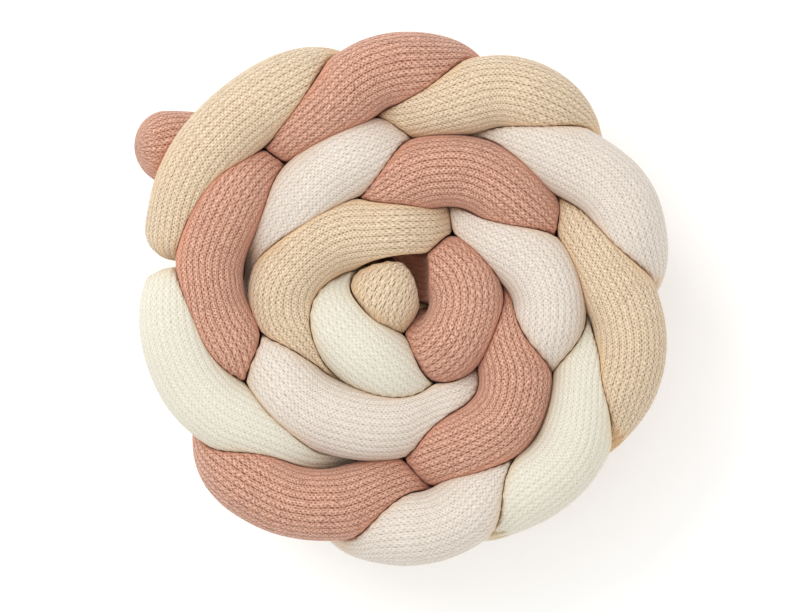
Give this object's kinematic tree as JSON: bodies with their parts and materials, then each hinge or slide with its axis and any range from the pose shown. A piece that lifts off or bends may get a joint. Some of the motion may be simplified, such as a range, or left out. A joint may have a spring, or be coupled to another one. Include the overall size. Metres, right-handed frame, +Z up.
{
  "type": "braided crib bumper, rolled up",
  "caption": "Plaited crib bumper of stuffed knitted tubes, rolled up on edge into a flat round coil; soft edge guard for a cot.",
  "frame": {"origin": "middle of the coil's box on the surface that it lies on", "axes": "+Z up, along the coil's short way; +Y is the top of the picture and +X its right"},
  "size_m": [0.428, 0.4256, 0.1855],
  "materials": {
    "knit_sand": "matt ribbed cotton knit, sand",
    "knit_pink": "matt ribbed cotton knit, dusty pink",
    "knit_blush": "matt ribbed cotton knit, blush",
    "knit_ivory": "matt ribbed cotton knit, ivory"
  },
  "bodies": {
    "root": {"strand_sand": "knit_sand", "strand_pink": "knit_pink", "strand_blush": "knit_blush", "strand_ivory": "knit_ivory"}
  },
  "joints": []
}
